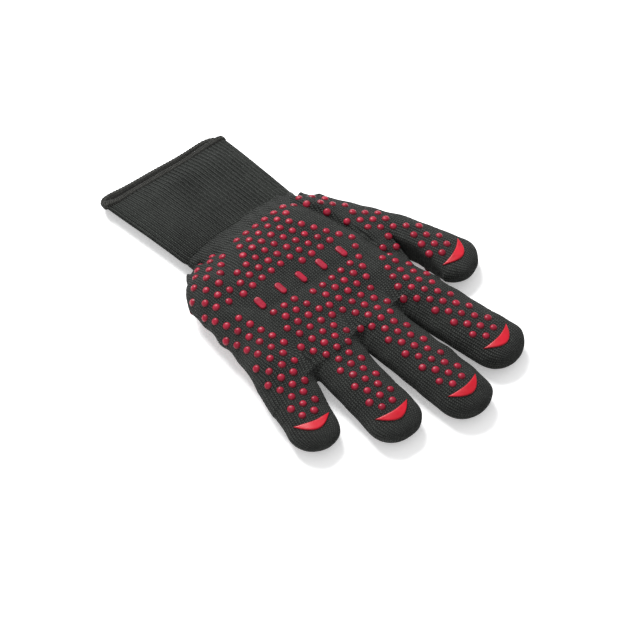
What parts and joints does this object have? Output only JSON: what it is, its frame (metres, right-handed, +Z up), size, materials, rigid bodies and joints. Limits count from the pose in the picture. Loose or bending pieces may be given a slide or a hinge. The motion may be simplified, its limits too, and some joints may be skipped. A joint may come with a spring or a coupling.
{
  "type": "heat resistant glove",
  "caption": "Long-cuffed knitted cooking glove with raised silicone grip dots and fingertip crescents, lying palm up with its fingers spread.",
  "frame": {"origin": "centre of the footprint, on the surface the glove rests on", "axes": "+X along the middle finger towards its tip, +Y towards the thumb, +Z up out of the palm"},
  "size_m": [0.283, 0.1854, 0.0318],
  "materials": {
    "outer_knit": "matte knit",
    "cuff_rib": "ribbed knit",
    "hem_yarn": "overlocked yarn",
    "lining_knit": "soft lining",
    "silicone": "glossy silicone"
  },
  "bodies": {
    "hand": {"hand_shell": "outer_knit", "hand_liner": "lining_knit", "cuff_shell": "cuff_rib", "cuff_liner": "lining_knit", "cuff_hem": "hem_yarn", "palm_bars": "silicone", "back_bars": "silicone", "palm_finger_dots": "silicone", "palm_edge_dots": "silicone", "palm_heel_dots": "silicone", "palm_thumb_dots": "silicone", "back_finger_dots": "silicone", "back_edge_dots": "silicone", "back_heel_dots": "silicone", "back_thumb_dots": "silicone"},
    "index_base": {"index_base_shell": "outer_knit", "index_base_liner": "lining_knit", "index_base_dots": "silicone"},
    "index_tip": {"index_tip_shell": "outer_knit", "index_tip_liner": "lining_knit", "index_tip_dots": "silicone", "index_crescents": "silicone"},
    "middle_base": {"middle_base_shell": "outer_knit", "middle_base_liner": "lining_knit", "middle_base_dots": "silicone"},
    "middle_tip": {"middle_tip_shell": "outer_knit", "middle_tip_liner": "lining_knit", "middle_tip_dots": "silicone", "middle_crescents": "silicone"},
    "ring_base": {"ring_base_shell": "outer_knit", "ring_base_liner": "lining_knit", "ring_base_dots": "silicone"},
    "ring_tip": {"ring_tip_shell": "outer_knit", "ring_tip_liner": "lining_knit", "ring_tip_dots": "silicone", "ring_crescents": "silicone"},
    "little_base": {"little_base_shell": "outer_knit", "little_base_liner": "lining_knit", "little_base_dots": "silicone"},
    "little_tip": {"little_tip_shell": "outer_knit", "little_tip_liner": "lining_knit", "little_tip_dots": "silicone", "little_crescents": "silicone"},
    "thumb_base": {"thumb_base_shell": "outer_knit", "thumb_base_liner": "lining_knit", "thumb_base_dots": "silicone"},
    "thumb_tip": {"thumb_tip_shell": "outer_knit", "thumb_tip_liner": "lining_knit", "thumb_tip_dots": "silicone", "thumb_crescents": "silicone"}
  },
  "joints": [
    {"name": "index_knuckle", "type": "hinge", "parent": "hand", "child": "index_base", "pos_m": [0.06355, 0.03834, 0.02157], "axis": [0.0698, -0.9976, 0], "range_deg": [0, 80]},
    {"name": "index_middle_joint", "type": "hinge", "parent": "index_base", "child": "index_tip", "pos_m": [0.09781, 0.04316, 0.01862], "axis": [0.0698, -0.9976, 0], "range_deg": [0, 75]},
    {"name": "middle_knuckle", "type": "hinge", "parent": "hand", "child": "middle_base", "pos_m": [0.06073, 0.0029, 0.02198], "axis": [0, -1, 0], "range_deg": [0, 80]},
    {"name": "middle_middle_joint", "type": "hinge", "parent": "middle_base", "child": "middle_tip", "pos_m": [0.10233, 0.00326, 0.01958], "axis": [0, -1, 0], "range_deg": [0, 75]},
    {"name": "ring_knuckle", "type": "hinge", "parent": "hand", "child": "ring_base", "pos_m": [0.05754, -0.03223, 0.02152], "axis": [-0.0698, -0.9976, 0], "range_deg": [0, 80]},
    {"name": "ring_middle_joint", "type": "hinge", "parent": "ring_base", "child": "ring_tip", "pos_m": [0.09185, -0.03675, 0.01895], "axis": [-0.0698, -0.9976, 0], "range_deg": [0, 75]},
    {"name": "little_knuckle", "type": "hinge", "parent": "hand", "child": "little_base", "pos_m": [0.05036, -0.06757, 0.02006], "axis": [-0.165, -0.9863, 0], "range_deg": [0, 80]},
    {"name": "little_middle_joint", "type": "hinge", "parent": "little_base", "child": "little_tip", "pos_m": [0.07014, -0.074, 0.01739], "axis": [-0.165, -0.9863, 0], "range_deg": [0, 75]},
    {"name": "thumb_knuckle", "type": "hinge", "parent": "hand", "child": "thumb_base", "pos_m": [0.02149, 0.06538, 0.01959], "axis": [0.6428, -0.766, 0], "range_deg": [0, 60]},
    {"name": "thumb_middle_joint", "type": "hinge", "parent": "thumb_base", "child": "thumb_tip", "pos_m": [0.03695, 0.07115, 0.01797], "axis": [0.6428, -0.766, 0], "range_deg": [0, 60]}
  ]
}
